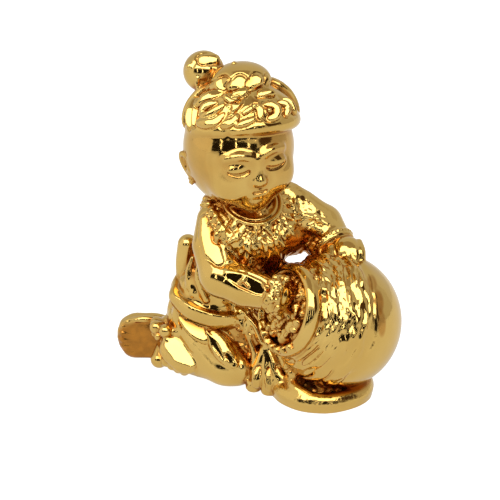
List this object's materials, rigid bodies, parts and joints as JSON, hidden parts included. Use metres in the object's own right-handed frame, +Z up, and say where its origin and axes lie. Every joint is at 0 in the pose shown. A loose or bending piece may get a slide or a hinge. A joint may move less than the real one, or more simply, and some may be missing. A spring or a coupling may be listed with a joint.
{
  "type": "seated child figurine with tipped jar",
  "caption": "Small gold-plated figurine of a seated child in a wrapped cloth who reaches into a round jar tipped on a mat.",
  "frame": {"origin": "middle of the bounding box's underside, on the plane the figurine stands on", "axes": "+Z up, -Y towards the display front, +X from the folded legs towards the jar"},
  "size_m": [0.0368, 0.022, 0.0434],
  "materials": {
    "head": "mirror-polished gold plating",
    "hair_cap": "gold plating over chased detail",
    "topknot": "mirror-polished gold plating",
    "rear_bun": "mirror-polished gold plating",
    "bead_collar": "gold plating over chased detail",
    "shoulder_strap": "gold plating over chased detail",
    "torso": "mirror-polished gold plating",
    "right_arm": "mirror-polished gold plating",
    "right_hand": "mirror-polished gold plating",
    "right_bracelet": "gold plating over chased detail",
    "left_arm": "mirror-polished gold plating",
    "left_sleeve_cuff": "gold plating over chased detail",
    "left_bracelet": "gold plating over chased detail",
    "left_hand": "mirror-polished gold plating",
    "waist_sash": "mirror-polished gold plating",
    "sash_bow": "mirror-polished gold plating",
    "hip_cloth": "mirror-polished gold plating",
    "right_leg": "mirror-polished gold plating",
    "right_foot": "mirror-polished gold plating",
    "right_anklet": "gold plating over chased detail",
    "left_leg": "mirror-polished gold plating",
    "left_foot": "mirror-polished gold plating",
    "front_cloth": "mirror-polished gold plating",
    "jar": "mirror-polished gold plating",
    "coin_heap": "gold plating over chased detail",
    "coin_spill": "gold plating over chased detail",
    "base_mat": "mirror-polished gold plating"
  },
  "bodies": {
    "root": {"head": "head", "hair_cap": "hair_cap", "topknot": "topknot", "rear_bun": "rear_bun", "bead_collar": "bead_collar", "shoulder_strap": "shoulder_strap", "torso": "torso", "right_arm": "right_arm", "right_hand": "right_hand", "right_bracelet": "right_bracelet", "left_arm": "left_arm", "left_sleeve_cuff": "left_sleeve_cuff", "left_bracelet": "left_bracelet", "left_hand": "left_hand", "waist_sash": "waist_sash", "sash_bow": "sash_bow", "hip_cloth": "hip_cloth", "right_leg": "right_leg", "right_foot": "right_foot", "right_anklet": "right_anklet", "left_leg": "left_leg", "left_foot": "left_foot", "front_cloth": "front_cloth", "jar": "jar", "coin_heap": "coin_heap", "coin_spill": "coin_spill", "base_mat": "base_mat"}
  },
  "joints": []
}
